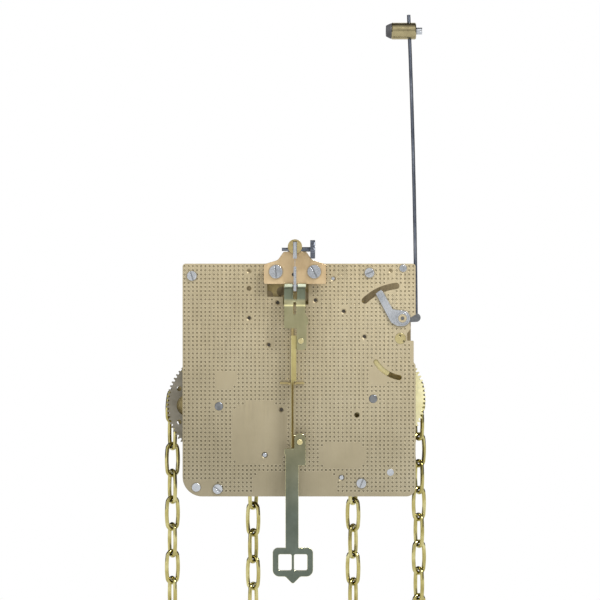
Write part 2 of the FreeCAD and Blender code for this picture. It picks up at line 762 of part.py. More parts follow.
def fly():
    """The air brake: a vane on the last arbor of the strike train."""
    body = pinion_arbor(fly_place, warning, warning_teeth, fly_pinion, warning_layer)
    x, z = fly_place
    vane = block(x - 6.5, x + 6.5, back_in + 3, back_in + 14, z - 0.35, z + 0.35)
    vane.rotate(V(x, 0, z), V(0, 1, 0), 35)
    return fuse([body, vane])


# Motion work and strike work, on the dial side

def front_stud_set():
    """Fixed studs that carry the minute wheel and the strike levers."""
    shapes = []
    for p in front_studs:
        end = minute_layer + 5.2 if p == minute_stud else snail_layer + 2.2
        shapes.append(fuse([rod(p, front_in, front_out, stud_foot_r), rod(p, front_out, end, strike_stud_r)]))
    return shapes


def cannon_pinion():
    module = mesh_module(centre, minute_stud, cannon_teeth, minute_teeth)
    angle = direction(centre, minute_stud) + math.pi / cannon_teeth
    teeth = gear(centre, cannon_teeth, module, minute_layer - 1.2, minute_layer + 1.2, angle)
    pipe = rod(centre, front_out + 0.3, front_out + cannon_end, cannon_r)
    return fuse([teeth, pipe]).cut(rod(centre, front_out - 1, front_out + 30, arbor_r))


def minute_wheel():
    module = mesh_module(centre, minute_stud, cannon_teeth, minute_teeth)
    small = mesh_module(centre, minute_stud, minute_pinion, hour_teeth)
    body = wheel(minute_stud, minute_teeth, module, minute_layer, 1.0, direction(minute_stud, centre),
                 strike_stud_r + running_gap, 6)
    turn = direction(minute_stud, centre) + math.pi / minute_pinion
    teeth = gear(minute_stud, minute_pinion, small, minute_layer + 0.4, hour_layer + 0.9, turn)
    bore = rod(minute_stud, front_out, front_out + 20, strike_stud_r + running_gap)
    return fuse([body, teeth]).cut(bore)


def hour_wheel():
    module = mesh_module(centre, minute_stud, minute_pinion, hour_teeth)
    facing = direction(centre, minute_stud)
    body = wheel(centre, hour_teeth, module, hour_layer, 1.0, facing, hour_pipe_r - 0.5, 6)
    end = front_out + hour_pipe_end
    pipe = rod(centre, hour_layer - 0.5, end - hour_seat_l, hour_pipe_r)
    seat = rod(centre, end - hour_seat_l, end, hour_seat_r)
    bore = rod(centre, front_out, front_out + 30, cannon_r + running_gap)
    return fuse([body, pipe, seat]).cut(bore)


def snail():
    """Twelve steps; the rack's tail falls on one of them to count the hour."""
    points = []
    for k in range(12):
        for part in range(4):
            angle = math.radians(30 * k + 10 * part)
            points.append(polar(centre, snail_low + snail_step * k, angle))
    body = slab(points, snail_layer - 0.6, snail_layer + 0.6)
    return body.cut(rod(centre, snail_layer - 2, snail_layer + 2, hour_pipe_r))


def lever(place, ends, width, y0, y1, hub_r=3.0):
    body = fuse([bar(place, end, width, y0, y1) for end in ends] + [rod(place, y0, y1, hub_r)])
    return body.cut(rod(place, y0 - 2, y1 + 2, strike_stud_r + running_gap))


def rack():
    """A toothed sector on an arm, with a tail beside the snail."""
    y0, y1 = snail_layer - 0.6, snail_layer + 0.6
    tail = polar(centre, snail_low + 12 * snail_step + 2.2, math.radians(186))
    reach, teeth = 38.0, 13
    points = []
    for k in range(teeth):
        angle = math.radians(72 - 2.6 * k)
        points.append(polar(rack_place, reach, angle))
        points.append(polar(rack_place, reach - 1.3, angle - 0.01))
    points += [polar(rack_place, reach - 5, math.radians(a)) for a in (38, 46, 54, 62, 72)]
    sector = slab(points, y0, y1)
    arms = lever(rack_place, [tail, polar(rack_place, reach - 4, math.radians(58))], 3.4, y0, y1)
    return fuse([arms, sector])


def rack_hook():
    y0, y1 = snail_layer - 0.6, snail_layer + 0.6
    nose = polar(rack_place, 41.5, math.radians(56))
    return lever(hook_place, [nose, polar(hook_place, 12, 0.2)], 3.0, y0, y1)


def lifting_lever():
    y0, y1 = snail_layer - 0.6, snail_layer + 0.6
    ends = [polar(centre, 18.5, 0.15), polar(lift_place, 22, math.radians(97))]
    return lever(lift_place, ends, 3.0, y0, y1)


# Hammer and levers at the back

def hammer_wire():
    """A slightly bowed wire from the hammer arm up to the head."""
    low, mid, high = hammer_lean
    heights = (hammer_place[1] - 1.2, hammer_bow_z, hammer_top_z)
    points = [V(x, hammer_layer, z) for x, z in zip((low, mid, high), heights)]
    edge = Part.Arc(*points).toShape()
    tangent = edge.tangentAt(edge.FirstParameter)
    face = Part.Face(Part.Wire([Part.Circle(points[0], tangent, hammer_wire_r).toShape()]))
    return Part.Wire([edge]).makePipe(face)


def hammer_arbor():
    """An arbor with an arm that grips the wire and a tail beside the pins."""
    body = arbor(hammer_place, y_rear=back_out - collar_h - pivot_proud)
    y0, y1 = hammer_layer - 1.8, hammer_layer + 1.8
    end = (hammer_lean[0], hammer_place[1] + 0.3)
    arm = bar(hammer_place, end, 4.2, y0, y1)
    tail_y = pin_layer - 2.2
    tail_r = 1.2
    tip = polar(pin_place, pin_ring_r + lifting_pin_r + tail_r + 0.3, direction(pin_place, hammer_place))
    tail = bar(hammer_place, tip, 2 * tail_r, tail_y - 0.7, tail_y + 0.7)
    return fuse([body, arm, tail]).cut(hammer_wire())


def hammer_head():
    x0, x1 = hammer_left + tip_l, hammer_right
    body = rod_x(x0, x1, hammer_layer, hammer_z, hammer_head_r)
    body = body.makeChamfer(0.4, [e for e in body.Edges if e.Curve.TypeId == "Part::GeomCircle"])
    bore = rod_x(x1 - 2.2, x1 + 1, hammer_layer, hammer_z, set_screw_r)
    return body.cut(hammer_wire()).cut(bore)


def hammer_tip():
    start = V(hammer_left, hammer_layer, hammer_z)
    return Part.makeCone(hammer_head_r - tip_lip, hammer_head_r - 0.2, tip_l, start, V(1, 0, 0))


def hammer_set_screw():
    x1 = hammer_right
    thread = rod_x(x1 - 2.2, x1, hammer_layer, hammer_z, set_screw_r)
    body = thread.fuse(rod_x(x1, x1 + 3.0, hammer_layer, hammer_z, 1.7))
    slot = block(x1 + 2.3, x1 + 4, hammer_layer - 3, hammer_layer + 3, hammer_z - 0.3, hammer_z + 0.3)
    return body.cut(slot)


def silence_lever():
    """A flat boot-shaped lever that turns on the hammer arbor's collar, with a pin in the upper slot."""
    y1 = back_out - 0.15
    y0 = y1 - silence_t
    x, z = hammer_place
    arm = rounded([(38.8, z + 11.9, 0.3), (41.4, z + 13.7, 0.3), (42.4, z + 12.5, 0.6), (46.9, z + 4.3, 0.8),
                   (x, z + silence_r, 0.2), (x, z - silence_r, 0.2), (49.2, z - silence_r, 2.0),
                   (46.2, z - 2.0, 1.2)], y0, y1)
    hub = rod(hammer_place, y0 - 0.4, y1, silence_r - 0.9)
    pin = rod((40.3, z + 12.6), y1 - 0.1, back_in + 0.5, silence_pin_r)
    body = fuse([arm, rod(hammer_place, y0, y1, silence_r), hub, pin])
    return body.cut(rod(hammer_place, y0 - 2, y1 + 2, collar_r + running_gap))


def shift_lever():
    """The brass lever whose hub shows in the edge notch and whose foot shows in the lower slot."""
    y0 = back_in + 0.3
    x, z = shift_place
    hub = rod(shift_place, back_out - 0.2, y0 + 1, shift_hub_r)
    foot = polar(shift_place, 17.5, math.radians(236))
    plate = fuse([bar(shift_place, foot, 6.0, y0, y0 + 1), rod(foot, y0, y0 + 1, 5.0)])
    pivot = rod(shift_place, y0, front_in + 1.2, pivot_r)
    post = rod(shift_place, y0, front_in - end_shake, arbor_r)
    eyes = [rod((x + dx, z + dz), back_out - 1, back_out + 0.6, 0.5) for dx, dz in ((-0.2, 1.4), (1.6, -1.3))]
    return fuse([hub, plate, pivot, post]).cut(Part.makeCompound(eyes))


# Chains

def link_step(chain_r):
    """The angle that one link takes on the wheel."""
    return 2 * math.asin(chain_pitch / 2 / chain_r)


def chain_turns(place, chain_r, side, slack_x, start, run_links):
    """Where links meet, from the top of the load to the guide; side is -1 with the load on the left."""
    step = link_step(chain_r)
    wrap = []
    for k in range(wrap_steps + 1):
        angle = math.radians(start) + k * step
        wrap.append((place[0] + side * chain_r * math.cos(angle), place[1] + chain_r * math.sin(angle)))
    load_x = place[0] + side * chain_r
    x, z = wrap[0]
    points = [(load_x, z - math.sqrt(chain_pitch ** 2 - (load_x - x) ** 2))] + wrap
    x, z = wrap[-1]
    run = run_links * chain_pitch
    drop = math.sqrt(run ** 2 - (slack_x - x) ** 2)
    for k in range(1, run_links + 1):
        points.append((x + (slack_x - x) * k / run_links, z - drop * k / run_links))
    return points


def link():
    """One open oval link of round wire, standing along Z with its middle at the origin, in the XZ plane."""
    half_l, half_w = (link_l - link_wire) / 2, (link_w - link_wire) / 2
    end_z = half_l - link_end_r
    side_r = (half_w ** 2 + end_z ** 2 - link_end_r ** 2) / 2 / (half_w - link_end_r)
    lean = math.atan2(end_z, side_r - half_w)
    x, z = link_end_r * math.cos(lean), end_z + link_end_r * math.sin(lean)
    a, b, c, d = V(x, 0, -z), V(x, 0, z), V(-x, 0, z), V(-x, 0, -z)
    edges = [Part.Arc(a, V(half_w, 0, 0), b).toShape(), Part.Arc(b, V(0, 0, half_l), c).toShape(),
             Part.Arc(c, V(-half_w, 0, 0), d).toShape(), Part.Arc(d, V(0, 0, -half_l), a).toShape()]
    tangent = V(math.sin(lean), 0, math.cos(lean))
    ring = Part.Wire([Part.Circle(a, tangent, link_wire / 2).toShape()])
    return Part.Wire(edges).makePipeShell([ring], True, False)


def links(points, first=0):
    """A link between each two points, each turned a quarter from the one before it."""
    shapes = []
    one = link()
    for k in range(len(points) - 1):
        a, b = points[k], points[k + 1]
        shape = one.copy()
        twist = link_twist if (k + first) % 2 == 0 else link_twist - 90
        shape.rotate(V(0, 0, 0), V(0, 0, 1), twist)
        lean = math.degrees(math.atan2(b[0] - a[0], b[1] - a[1]))
        shape.rotate(V(0, 0, 0), V(0, 1, 0), lean)
        shape.translate(V((a[0] + b[0]) / 2, chain_layer, (a[1] + b[1]) / 2))
        shapes.append(shape)
    return shapes


def hanging(x, z_top):
    """Points down a vertical strand until it is past the foot."""
    count = math.ceil((z_top - chain_foot) / chain_pitch)
    return [(x, z_top - k * chain_pitch) for k in range(count + 1)]


def chain_end(x, z, parity, mirrored, body):
    """Places an end fitting below a strand's last meeting point, a quarter turn from its last link."""
    twist = link_twist if parity % 2 == 0 else link_twist - 90
    body.rotate(V(0, 0, 0), V(0, 0, 1), (-twist if mirrored else twist) + 90)
    body.translate(V(x, chain_layer, z + (link_wire + link_gap) / 2))
    return body


def weight_hook():
    """An eye, a shank and an open hook, hanging down from the origin in the XZ plane."""
    r = hook_wire / 2
    eye = Part.makeTorus(hook_eye_r, r, V(0, 0, -hook_eye_r), V(0, 1, 0))
    end = -2 * hook_eye_r - hook_shank
    shank = Part.makeCylinder(r, hook_shank, V(0, 0, end), V(0, 0, 1))
    bow = [V(0, 0, end), V(hook_bow_r, 0, end - hook_bow_r), V(0, 0, end - 2 * hook_bow_r)]
    slant = hook_bow_r / math.sqrt(2)
    middle = V(-slant, 0, end - hook_bow_r - slant)
    tip = V(-hook_bow_r, 0, end - hook_bow_r)
    path = Part.Wire([Part.Arc(*bow).toShape(), Part.Arc(bow[2], middle, tip).toShape()])
    face = Part.Wire([Part.Circle(bow[0], V(1, 0, 0), r).toShape()])
    bend = path.makePipeShell([face], True, False)
    neck = Part.makeSphere(r, V(0, 0, end))
    return fuse([eye, shank, neck, bend])


def pull_ring():
    return Part.makeTorus(ring_r, hook_wire / 2, V(0, 0, -ring_r), V(0, 1, 0))


def chains():
    """Links over both wheels and down the runs, then the four hanging strands with a hook or ring each."""
    wraps, strands = [], {}
    for name, chain in (("time", time_chain), ("strike", strike_chain)):
        turns = chain_turns(*chain)
        wraps += links(turns)
        load, slack = hanging(*turns[0]), hanging(*turns[-1])
        first = (len(load) - 1) % 2
        hook = chain_end(*load[-1], first, False, weight_hook())
        strands[name + "_chain_load"] = links(load[::-1], first) + [hook]
        last = len(turns) + len(slack) - 3
        ring = chain_end(*slack[-1], last, True, pull_ring())
        strands[name + "_chain_slack"] = links(slack, len(turns) - 1) + [ring]
    return wraps, strands


# Output

def build():
    wraps, strands = chains()
    nodes = {
        "back_plate": back_plate(), "front_plate": front_plate(), "plate_pillars": plate_pillars(),
        "plate_screws": plate_screws(), "riveted_studs": plate_rivets() + chain_guides() + front_stud_set(),
        "suspension_cock": suspension_cock(), "cock_screws": cock_screws(),
        "suspension_stud": suspension_stud(), "thumb_screw": thumb_screw(),
        "suspension_block": suspension_block(),
        "suspension_blade": suspension_blade(), "leader_head": leader_head(), "leader_web": leader_web(),
        "pendulum_hook": pendulum_hook(), "leader_rivets": leader_rivets(), "pallet_arbor": pallet_arbor(),
        "anchor": anchor(), "crutch": crutch(),
        "time_great_arbor": great_arbor(time_great), "time_great_wheel": great_wheel(time_great, second),
        "time_chain_wheel": chain_wheel(time_great, time_chain_r),
        "second_arbor": pinion_arbor(second, time_great, great_teeth, great_pinion, great_layer),
        "second_wheel": train_wheel(second, centre, second_teeth, centre_pinion, second_layer),
        "centre_arbor": centre_arbor(),
        "centre_wheel": train_wheel(centre, third, centre_teeth, third_pinion, centre_layer),
        "third_arbor": pinion_arbor(third, centre, centre_teeth, third_pinion, centre_layer),
        "third_wheel": train_wheel(third, fourth, third_teeth, fourth_pinion, third_layer),
        "fourth_arbor": pinion_arbor(fourth, third, third_teeth, fourth_pinion, third_layer),
        "fourth_wheel": train_wheel(fourth, escape, fourth_teeth, escape_pinion, fourth_layer),
        "escape_arbor": pinion_arbor(escape, fourth, fourth_teeth, escape_pinion, fourth_layer),
        "escape_wheel": escape_wheel(), "cannon_pinion": cannon_pinion(), "minute_wheel": minute_wheel(),
        "hour_wheel": hour_wheel(), "snail": snail(), "rack": rack(), "rack_hook": rack_hook(),
        "lifting_lever": lifting_lever(),
        "strike_great_arbor": great_arbor(strike_great),
        "strike_great_wheel": great_wheel(strike_great, pin_place),
        "strike_chain_wheel": chain_wheel(strike_great, strike_chain_r),
        "pin_arbor": pinion_arbor(pin_place, strike_great, great_teeth, great_pinion, great_layer),
        "pin_wheel": pin_wheel(),
        "locking_arbor": pinion_arbor(locking, pin_place, pin_teeth, locking_pinion, pin_layer),
        "locking_wheel": train_wheel(locking, warning, locking_teeth, warning_pinion, locking_layer),
        "warning_arbor": pinion_arbor(warning, locking, locking_teeth, warning_pinion, locking_layer),
        "warning_wheel": train_wheel(warning, fly_place, warning_teeth, fly_pinion, warning_layer),
        "fly": fly(),
        "hammer_arbor": hammer_arbor(), "hammer_wire": hammer_wire(), "hammer_head": hammer_head(),
        "hammer_tip": hammer_tip(), "hammer_set_screw": hammer_set_screw(), "silence_lever": silence_lever(),
        "shift_lever": shift_lever(), "chain_wraps": wraps,
    }
    nodes.update(strands)
    return nodes


os.makedirs("parts", exist_ok=True)
for node, shape in build().items():
    save(node, shape)
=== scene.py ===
import json
import math

import bmesh
import bpy
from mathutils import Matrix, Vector
from mathutils.geometry import delaunay_2d_cdt


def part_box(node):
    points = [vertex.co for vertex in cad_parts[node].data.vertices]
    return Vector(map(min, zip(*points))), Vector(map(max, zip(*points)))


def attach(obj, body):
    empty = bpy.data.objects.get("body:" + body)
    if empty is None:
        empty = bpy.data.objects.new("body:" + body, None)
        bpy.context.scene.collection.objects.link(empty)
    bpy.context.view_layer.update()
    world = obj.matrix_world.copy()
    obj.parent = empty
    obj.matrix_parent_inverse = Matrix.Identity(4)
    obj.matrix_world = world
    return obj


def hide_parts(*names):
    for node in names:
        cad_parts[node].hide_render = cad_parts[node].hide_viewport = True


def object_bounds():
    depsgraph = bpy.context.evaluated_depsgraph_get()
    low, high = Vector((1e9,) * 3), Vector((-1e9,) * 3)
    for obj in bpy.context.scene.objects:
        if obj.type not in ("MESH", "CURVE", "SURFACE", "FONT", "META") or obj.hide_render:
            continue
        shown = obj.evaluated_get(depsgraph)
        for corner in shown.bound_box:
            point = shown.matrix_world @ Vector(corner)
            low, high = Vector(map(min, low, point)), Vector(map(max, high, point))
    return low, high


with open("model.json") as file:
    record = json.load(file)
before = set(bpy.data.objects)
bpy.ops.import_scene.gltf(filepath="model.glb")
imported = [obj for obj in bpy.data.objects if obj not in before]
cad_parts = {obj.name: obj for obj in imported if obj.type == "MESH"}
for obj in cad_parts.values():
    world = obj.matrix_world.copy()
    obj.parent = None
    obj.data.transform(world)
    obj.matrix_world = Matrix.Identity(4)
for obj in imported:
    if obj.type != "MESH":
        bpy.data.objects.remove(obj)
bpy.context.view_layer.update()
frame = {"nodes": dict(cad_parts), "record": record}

# Looks of a longcase clock movement, seen from the back. Lengths are in metres.

MM = 0.001
NODES = frame["nodes"]
BODY_OF = {node: body for body, nodes in frame["record"]["behaviour"]["bodies"].items() for node in nodes}
SLOT_OF = {s["node"]: s["material_slot"] for s in frame["record"]["subparts"]}
PLATE_LOW, PLATE_HIGH = (Vector(c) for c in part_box("back_plate"))
FACE_Y = -0.75 * MM


# Node helpers

def ranged(tree, value, source, target=(0.0, 1.0)):
    """A value carried from one range into another."""
    spread = tree.nodes.new("ShaderNodeMapRange")
    for name, number in zip(("From Min", "From Max", "To Min", "To Max"), (*source, *target)):
        spread.inputs[name].default_value = number
    tree.links.new(value, spread.inputs["Value"])
    return spread.outputs[0]


def calculated(tree, operation, first, second):
    """The result of a sum on two values; the second may be a plain number."""
    step = tree.nodes.new("ShaderNodeMath")
    step.operation = operation
    tree.links.new(first, step.inputs[0])
    if isinstance(second, float):
        step.inputs[1].default_value = second
    else:
        tree.links.new(second, step.inputs[1])
    return step.outputs[0]


def axis_of(tree, place, axis):
    """One coordinate of a place."""
    split = tree.nodes.new("ShaderNodeSeparateXYZ")
    tree.links.new(place, split.inputs[0])
    return split.outputs[axis]


def mixed(tree, factor, first, second):
    """Two shaders mixed by a factor."""
    mix = tree.nodes.new("ShaderNodeMixShader")
    tree.links.new(factor, mix.inputs[0])
    tree.links.new(first, mix.inputs[1])
    tree.links.new(second, mix.inputs[2])
    return mix.outputs[0]


# Stage

CAMERA_DISTANCE = 1.0
VIEW_WIDTH = 288.6 * MM
VIEW_MIDDLE = (2.4 * MM, 94.5 * MM)
SENSOR_WIDTH = 36.0
FLOOR_DROP = 40 * MM
FLOOR_HALF = 3.0
FLOOR_FADE = (0.1, 0.45)
FLOOR_GLOW = (0.55, 1.0)
LIGHT_AIM = Vector((0, 0, 0.06))
# brightness of the room, by height and from behind the object to before it
ROOM_HEIGHT = ((-0.4, 0.9), (0.30, 0.85))
ROOM_DEPTH = ((0.15, -0.75), (0.25, 1.05))


def make_camera():
    """Level with the middle of the view, square to the back plate."""
    data = bpy.data.cameras.new("camera")
    data.sensor_width = SENSOR_WIDTH
    data.lens = SENSOR_WIDTH * CAMERA_DISTANCE / VIEW_WIDTH
    data.clip_start = 0.01
    camera = bpy.data.objects.new("camera", data)
    bpy.context.collection.objects.link(camera)
    camera.location = (VIEW_MIDDLE[0], FACE_Y - CAMERA_DISTANCE, VIEW_MIDDLE[1])
    camera.rotation_euler = (math.radians(90), 0, 0)
    bpy.context.scene.camera = camera


def make_floor():
    """A pale floor that fades to plain white away from the object."""
    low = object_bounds()[0]
    mesh = bpy.data.meshes.new("floor")
    z = low[2] - FLOOR_DROP
    corners = [(x * FLOOR_HALF, y * FLOOR_HALF, z) for x, y in ((-1, -1), (1, -1), (1, 1), (-1, 1))]
    mesh.from_pydata(corners, [], [(0, 1, 2, 3)])
    floor = bpy.data.objects.new("floor", mesh)
    bpy.context.collection.objects.link(floor)
    mat = bpy.data.materials.new("floor_pale")
    mat.use_nodes = True
    tree = mat.node_tree
    shader = tree.nodes["Principled BSDF"]
    shader.inputs["Base Color"].default_value = (0.95, 0.95, 0.95, 1)
    shader.inputs["Roughness"].default_value = 0.9
    glow = tree.nodes.new("ShaderNodeEmission")
    reach = tree.nodes.new("ShaderNodeVectorMath")
    reach.operation = "LENGTH"
    tree.links.new(tree.nodes.new("ShaderNodeTexCoord").outputs["Object"], reach.inputs[0])
    fade = ranged(tree, reach.outputs["Value"], FLOOR_FADE, FLOOR_GLOW)
    surface = mixed(tree, fade, shader.outputs[0], glow.outputs[0])
    tree.links.new(surface, tree.nodes["Material Output"].inputs["Surface"])
    mesh.materials.append(mat)


def make_light(name, place, size, power):
    """A square soft light aimed at the middle of the movement."""
    data = bpy.data.lights.new(name, "AREA")
    data.shape = "RECTANGLE"
    data.size = data.size_y = size
    data.energy = power
    light = bpy.data.objects.new(name, data)
    bpy.context.collection.objects.link(light)
    light.location = place
    light.rotation_euler = (LIGHT_AIM - Vector(place)).to_track_quat("-Z", "Y").to_euler()


def make_world():
    """A soft room, bright above and before the object and dim behind it, against a white ground."""
    world = bpy.data.worlds.new("studio")
    bpy.context.scene.world = world
    world.use_nodes = True
    tree = world.node_tree
    tree.nodes.clear()
    out = tree.nodes.new("ShaderNodeOutputWorld")
    towards = tree.nodes.new("ShaderNodeTexCoord").outputs["Generated"]
    height = ranged(tree, axis_of(tree, towards, "Z"), *ROOM_HEIGHT)
    front = ranged(tree, axis_of(tree, towards, "Y"), *ROOM_DEPTH)
    falloff = calculated(tree, "POWER", front, 2.0)
    soft = tree.nodes.new("ShaderNodeBackground")
    soft.inputs["Color"].default_value = (1, 0.99, 0.97, 1)
    tree.links.new(calculated(tree, "MULTIPLY", height, falloff), soft.inputs["Strength"])
    white = tree.nodes.new("ShaderNodeBackground")
    white.inputs["Color"].default_value = (1, 1, 1, 1)
    seen = tree.nodes.new("ShaderNodeLightPath").outputs["Is Camera Ray"]
    tree.links.new(mixed(tree, seen, soft.outputs[0], white.outputs[0]), out.inputs["Surface"])


# Materials

# painted shade: ambient occlusion darkens colours towards a dark brown in corners, slots and holes
PAINTED_SHADE_REACH = 1.2 * MM
PAINTED_SHADE_FLOOR = 0.25
PAINTED_SHADE_COLOUR = (0.012, 0.010, 0.006, 1)
GRAIN_DEPTH = 0.05 * MM
UPRIGHT = (1, 1, 0.04)


def clouded(tree, place, scale, dark, base, light):
    """A colour that drifts between three shades."""
    cloud = tree.nodes.new("ShaderNodeTexNoise")
    cloud.inputs["Scale"].default_value = scale
    cloud.inputs["Detail"].default_value = 6
    cloud.inputs["Roughness"].default_value = 0.6
    tree.links.new(place, cloud.inputs["Vector"])
    ramp = tree.nodes.new("ShaderNodeValToRGB")
    first, last = ramp.color_ramp.elements
    first.position, first.color = 0.30, (*dark, 1)
    last.position, last.color = 0.72, (*light, 1)
    ramp.color_ramp.elements.new(0.5).color = (*base, 1)
    tree.links.new(cloud.outputs["Fac"], ramp.inputs[0])
    return ramp.outputs[0]


def tinted_and_lit(tree, place, colour, axis, low, high, colour_low, colour_high):
    """A colour multiplied by another that changes along an axis, between two places in millimetres; used
    both for tints and for painted light and shade.
    """
    shade = tree.nodes.new("ShaderNodeMix")
    shade.data_type = "RGBA"
    shade.inputs["A"].default_value = (*colour_low, 1)
    shade.inputs["B"].default_value = (*colour_high, 1)
    along = ranged(tree, axis_of(tree, place, axis), (low * MM, high * MM))
    tree.links.new(along, shade.inputs["Factor"])
    both = tree.nodes.new("ShaderNodeMix")
    both.data_type = "RGBA"
    both.blend_type = "MULTIPLY"
    both.inputs["Factor"].default_value = 1.0
    tree.links.new(colour, both.inputs["A"])
    tree.links.new(shade.outputs["Result"], both.inputs["B"])
    return both.outputs["Result"]


def painted_shade(tree, colour):
    """A colour darkened by ambient occlusion in its corners, slots and holes: painted shade."""
    occlusion = tree.nodes.new("ShaderNodeAmbientOcclusion")
    occlusion.samples = 8
    occlusion.inputs["Distance"].default_value = PAINTED_SHADE_REACH
    shade_mix = tree.nodes.new("ShaderNodeMix")
    shade_mix.data_type = "RGBA"
    shade_mix.inputs["A"].default_value = PAINTED_SHADE_COLOUR
    open_part = ranged(tree, occlusion.outputs["AO"], (0.25, 0.9), (PAINTED_SHADE_FLOOR, 1.0))
    tree.links.new(open_part, shade_mix.inputs["Factor"])
    tree.links.new(colour, shade_mix.inputs["B"])
    return shade_mix.outputs["Result"]


def metal(name, dark, base, light, rough=(0.28, 0.45), grain=(1, 1, 1), grain_scale=900, grain_bump=0.08,
          patina_scale=45, metallic=1.0, tint_and_painted_light=()):
    """A worked metal: clouded colour with painted shade in its corners, and a fine directional grain in
    roughness and bump.

    The last argument holds slow changes over the piece, both tints and painted light and shade, each (axis,
    from, to, colour at from, colour at to).
    """
    mat = bpy.data.materials.new(name)
    mat.use_nodes = True
    tree = mat.node_tree
    shader = tree.nodes["Principled BSDF"]
    shader.inputs["Metallic"].default_value = metallic
    place = tree.nodes.new("ShaderNodeTexCoord").outputs["Object"]
    colour = clouded(tree, place, patina_scale, dark, base, light)
    for change in tint_and_painted_light:
        colour = tinted_and_lit(tree, place, colour, *change)
    tree.links.new(painted_shade(tree, colour), shader.inputs["Base Color"])

    mapping = tree.nodes.new("ShaderNodeMapping")
    mapping.inputs["Scale"].default_value = grain
    tree.links.new(place, mapping.inputs["Vector"])
    lines = tree.nodes.new("ShaderNodeTexNoise")
    lines.inputs["Scale"].default_value = grain_scale
    lines.inputs["Detail"].default_value = 4
    tree.links.new(mapping.outputs[0], lines.inputs["Vector"])
    tree.links.new(ranged(tree, lines.outputs["Fac"], (0.3, 0.7), rough), shader.inputs["Roughness"])
    bump = tree.nodes.new("ShaderNodeBump")
    bump.inputs["Strength"].default_value = grain_bump
    bump.inputs["Distance"].default_value = GRAIN_DEPTH
    tree.links.new(lines.outputs["Fac"], bump.inputs["Height"])
    tree.links.new(bump.outputs[0], shader.inputs["Normal"])
    return mat


DARK_EDGED = ("time_great_arbor", "strike_great_arbor", "hammer_arbor")
PLAIN = (1, 1, 1)
PLATE_SHADES = ((0.47, 0.40, 0.26), (0.57, 0.49, 0.33), (0.65, 0.57, 0.40))
# painted light: the plate is palest in its upper right corner, where the light comes from, and darker
# towards the bottom and the left
PLATE_PAINTED_LIGHT = [("Z", 0, 112, (0.78, 0.80, 0.82), (1.08, 1.07, 1.04)),
              ("X", -54, 58, (0.88, 0.88, 0.88), PLAIN)]
PLATE_ROUGH = (0.38, 0.55)
PLATE_GRAIN = {"grain": UPRIGHT, "grain_scale": 1500, "patina_scale": 14}
LEADER_GRAIN = {"grain": UPRIGHT, "grain_scale": 1500, "patina_scale": 70}
# the strap turns blue-grey towards the hook
STRAP_TINT = [("Z", -8, 34, (0.52, 0.66, 0.90), PLAIN)]
# painted shade and highlights on the leader's head: a dark band of painted shade under tabs at the top
# painted bright as a highlight, and a painted highlight along its fold
HEAD_PAINTED_LIGHT = [("Z", 94.0, 95.2, PLAIN, (0.46, 0.55, 0.66)), ("Z", 100.2, 100.8, PLAIN, (4.0, 3.8, 4.2)),
             ("Z", 91.3, 91.7, PLAIN, (2.4, 2.4, 2.2)), ("Z", 92.1, 92.5, PLAIN, (0.42, 0.42, 0.45))]
# painted shade: the web is darkened below the crutch
WEB_PAINTED_SHADE = [("Z", 54, 57, (0.34, 0.28, 0.22), PLAIN)]
# painted shade: the front plate is darker on its inner face, seen between the plates
INNER_PAINTED_SHADE = [("Y", 42.7, 43.6, (0.62, 0.58, 0.52), PLAIN)]


def make_materials():
    """One finish for each slot."""
    return {
        "plate_brass": metal("plate_brass", *PLATE_SHADES, rough=PLATE_ROUGH, tint_and_painted_light=PLATE_PAINTED_LIGHT,
                             **PLATE_GRAIN),
        "cock_brass": metal("cock_brass", (0.62, 0.45, 0.25), (0.77, 0.58, 0.34), (0.86, 0.68, 0.43),
                            rough=(0.30, 0.46), grain=UPRIGHT, grain_scale=1300, patina_scale=60),
        "brass": metal("brass", (0.38, 0.30, 0.14), (0.52, 0.42, 0.20), (0.62, 0.52, 0.28), patina_scale=60),
        "bright_brass": metal("bright_brass", (0.66, 0.55, 0.26), (0.80, 0.70, 0.36), (0.88, 0.80, 0.46),
                              rough=(0.2, 0.34), patina_scale=60),
        "chain_brass": metal("chain_brass", (0.38, 0.33, 0.11), (0.52, 0.46, 0.18), (0.74, 0.69, 0.36),
                             rough=(0.08, 0.16), grain=UPRIGHT, grain_scale=1200, patina_scale=120),
        "leader_metal": metal("leader_metal", (0.22, 0.21, 0.12), (0.29, 0.27, 0.16), (0.36, 0.34, 0.21),
                              rough=(0.34, 0.5), tint_and_painted_light=STRAP_TINT, **LEADER_GRAIN),
        "steel": metal("steel", (0.42, 0.45, 0.49), (0.58, 0.61, 0.65), (0.70, 0.73, 0.77),
                       rough=(0.22, 0.38), grain_scale=1500, patina_scale=80),
        "wire_steel": metal("wire_steel", (0.09, 0.10, 0.13), (0.16, 0.18, 0.22), (0.28, 0.30, 0.35),
                            rough=(0.25, 0.4), grain=UPRIGHT, grain_scale=1500, patina_scale=90),
        "tip_plastic": metal("tip_plastic", (0.05, 0.05, 0.055), (0.075, 0.075, 0.08), (0.11, 0.11, 0.12),
                             rough=(0.5, 0.7), metallic=0.0, patina_scale=150, grain_bump=0.2),
    }


